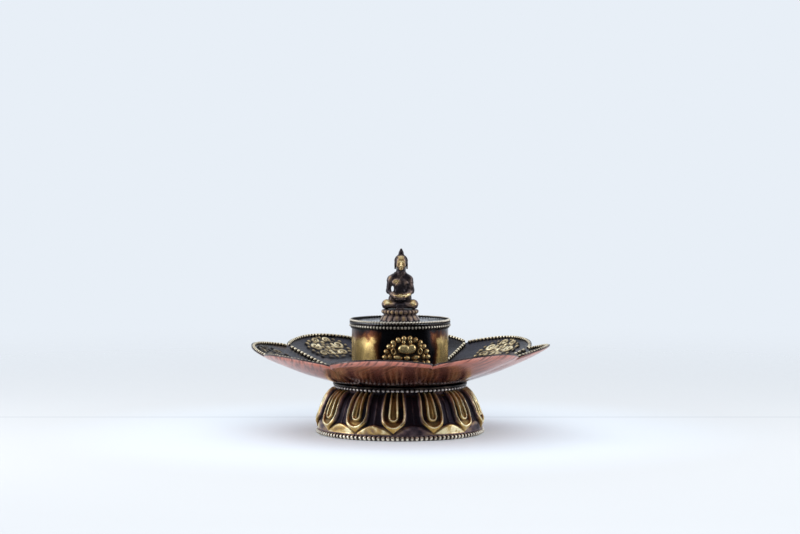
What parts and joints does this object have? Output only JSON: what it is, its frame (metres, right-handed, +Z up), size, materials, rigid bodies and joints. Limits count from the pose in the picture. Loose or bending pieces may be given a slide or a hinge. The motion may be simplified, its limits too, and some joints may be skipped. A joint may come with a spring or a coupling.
{
  "type": "incense censer",
  "caption": "Tabletop incense censer: lotus foot, petalled dish, round pot and a lift-off lid with smoke holes and a seated figure on a lotus seat.",
  "frame": {"origin": "on the central axis at the level of the table", "axes": "+Z up, -Y the way the figure faces, +X to the figure's left"},
  "size_m": [0.1496, 0.1496, 0.0925],
  "materials": {
    "foot_brass": "worn, dark in the hollows",
    "bead_brass": "bright, worn",
    "dish_copper": "brushed copper, brown and blue-grey tarnish",
    "ornament_brass": "bright relief over dark ground",
    "pot_brass": "polished, stained",
    "dark_ring": "tarnished",
    "lid_metal": "tarnished, reflective",
    "figure_bronze": "dark bronze with gilt high points",
    "steel": "plated"
  },
  "bodies": {
    "censer": {"foot_shell": "foot_brass", "foot_bottom_bead": "bead_brass", "foot_neck_bead": "bead_brass", "foot_top_plate": "pot_brass", "neck_ring": "dark_ring", "petal_dish": "dish_copper", "petal_rim_bead_1": "bead_brass", "petal_rim_bead_2": "bead_brass", "petal_rim_bead_3": "bead_brass", "petal_rim_bead_4": "bead_brass", "petal_rim_bead_5": "bead_brass", "petal_rim_bead_6": "bead_brass", "petal_rim_bead_7": "bead_brass", "petal_rim_bead_8": "bead_brass", "petal_crease_bead_1": "bead_brass", "petal_crease_bead_2": "bead_brass", "petal_crease_bead_3": "bead_brass", "petal_crease_bead_4": "bead_brass", "petal_crease_bead_5": "bead_brass", "petal_crease_bead_6": "bead_brass", "petal_crease_bead_7": "bead_brass", "petal_crease_bead_8": "bead_brass", "petal_ornament_1": "ornament_brass", "petal_ornament_2": "ornament_brass", "petal_ornament_3": "ornament_brass", "petal_ornament_4": "ornament_brass", "petal_ornament_5": "ornament_brass", "petal_ornament_6": "ornament_brass", "petal_ornament_7": "ornament_brass", "petal_ornament_8": "ornament_brass", "pot_wall": "pot_brass", "pot_floor": "pot_brass", "pot_mouth_bead": "bead_brass", "pot_mouth_wire": "bead_brass", "pot_medallion_front": "ornament_brass", "pot_medallion_back": "ornament_brass", "centre_bolt": "steel", "bolt_washer": "steel", "pot_washer": "steel", "spike_nut": "pot_brass"},
    "lid": {"lid_plate": "lid_metal", "lid_skirt": "pot_brass", "lid_rope": "bead_brass", "figure_stud": "steel", "figure_washer": "steel", "figure_nut": "steel", "figure_seat": "figure_bronze", "seated_figure": "figure_bronze"}
  },
  "joints": [
    {"name": "lid_lift", "type": "slide", "parent": "censer", "child": "lid", "axis": [0, 0, 1], "range_m": [0, 0.06]}
  ]
}
